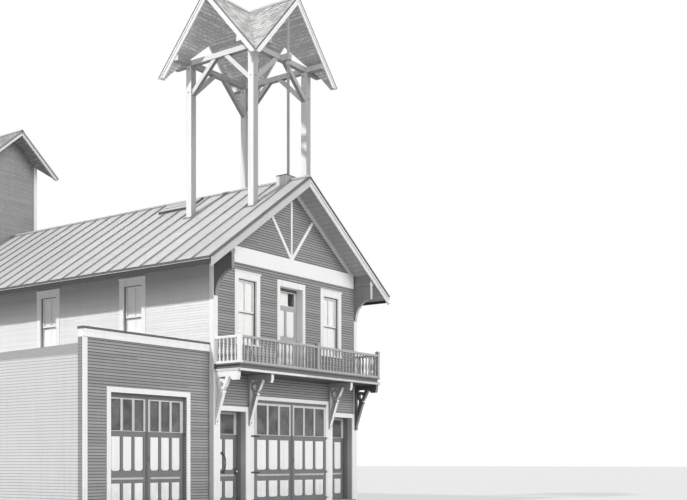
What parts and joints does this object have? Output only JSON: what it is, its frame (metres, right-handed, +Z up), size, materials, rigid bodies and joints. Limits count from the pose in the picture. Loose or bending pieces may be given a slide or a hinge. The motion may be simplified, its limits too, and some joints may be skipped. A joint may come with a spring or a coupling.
{
  "type": "two-storey timber fire station with belfry",
  "caption": "Gabled clapboard fire station with an open cross-gabled belfry, bracketed balcony, panelled swinging engine doors, a flat-roofed side bay and a rear hose tower.",
  "frame": {"origin": "on the ground at the middle of the main house, on the underside of its floor", "axes": "+X to the right along the front, +Y into the building, +Z up"},
  "size_m": [10.91, 15.745, 13.78],
  "materials": {
    "stone": "rough",
    "concrete_floor": "trowelled",
    "floor_boards": "worn boards",
    "siding_front": "painted clapboards, matt",
    "siding_side": "painted clapboards, matt",
    "siding_tower": "painted clapboards, matt",
    "metal_roof": "standing seam, weathered",
    "shingles": "weathered shingles",
    "weathered_timber": "painted timber, weathered",
    "dark_metal": "matt",
    "white_trim": "white paint, semi-gloss",
    "glass": "clear"
  },
  "bodies": {
    "root": {"balcony_brackets": "white_trim", "balcony_deck": "white_trim", "balcony_front_rail": "white_trim", "balcony_side_rails": "white_trim", "barge_boards": "white_trim", "bay_cap": "white_trim", "bay_front_wall": "siding_front", "bay_party_wall": "siding_side", "bay_piers": "siding_front", "bay_rear_wall": "siding_side", "bay_roof": "metal_roof", "belfry_barge_boards": "white_trim", "belfry_braces": "weathered_timber", "belfry_plates": "weathered_timber", "belfry_posts": "weathered_timber", "belfry_roof": "shingles", "corner_boards": "white_trim", "door_head_casings": "white_trim", "door_side_casings": "white_trim", "eave_brackets": "white_trim", "eave_fascias": "white_trim", "entry_recesses": "white_trim", "foundation": "stone", "front_piers": "siding_front", "front_wall": "siding_front", "gable_sticks": "white_trim", "ground_floor": "concrete_floor", "hinge_lugs": "dark_metal", "left_wall": "siding_side", "main_roof_left": "metal_roof", "main_roof_right": "metal_roof", "rake_friezes": "white_trim", "rear_wall": "siding_side", "right_wall": "siding_side", "sign_board": "white_trim", "signal_mast": "dark_metal", "tower_barge_boards": "white_trim", "tower_roof": "shingles", "tower_walls": "siding_tower", "upper_door": "white_trim", "upper_door_frame": "white_trim", "upper_floor": "floor_boards", "window_frames": "white_trim", "window_glass": "glass"},
    "engine_door_left": {"engine_door_left": "white_trim", "engine_door_left_glass": "glass"},
    "engine_door_right": {"engine_door_right": "white_trim", "engine_door_right_glass": "glass"},
    "entry_door_left": {"entry_door_left": "white_trim", "entry_door_left_glass": "glass"},
    "entry_door_right": {"entry_door_right": "white_trim", "entry_door_right_glass": "glass"},
    "bay_door_left": {"bay_door_left": "white_trim", "bay_door_left_glass": "glass"},
    "bay_door_right": {"bay_door_right": "white_trim", "bay_door_right_glass": "glass"}
  },
  "joints": [
    {"name": "engine_door_left_hinge", "type": "hinge", "parent": "root", "child": "engine_door_left", "pos_m": [-1.541, -6.137, 1.4], "axis": [0, 0, 1], "range_deg": [-90, 0]},
    {"name": "engine_door_right_hinge", "type": "hinge", "parent": "root", "child": "engine_door_right", "pos_m": [1.541, -6.137, 1.4], "axis": [0, 0, 1], "range_deg": [0, 90]},
    {"name": "entry_door_left_hinge", "type": "hinge", "parent": "root", "child": "entry_door_left", "pos_m": [-2.831, -5.743, 1.3], "axis": [0, 0, 1], "range_deg": [0, 90]},
    {"name": "entry_door_right_hinge", "type": "hinge", "parent": "root", "child": "entry_door_right", "pos_m": [2.831, -5.743, 1.3], "axis": [0, 0, 1], "range_deg": [-90, 0]},
    {"name": "bay_door_left_hinge", "type": "hinge", "parent": "root", "child": "bay_door_left", "pos_m": [-6.246, -5.859, 1.4], "axis": [0, 0, 1], "range_deg": [-90, 0]},
    {"name": "bay_door_right_hinge", "type": "hinge", "parent": "root", "child": "bay_door_right", "pos_m": [-3.874, -5.859, 1.4], "axis": [0, 0, 1], "range_deg": [0, 90]}
  ]
}
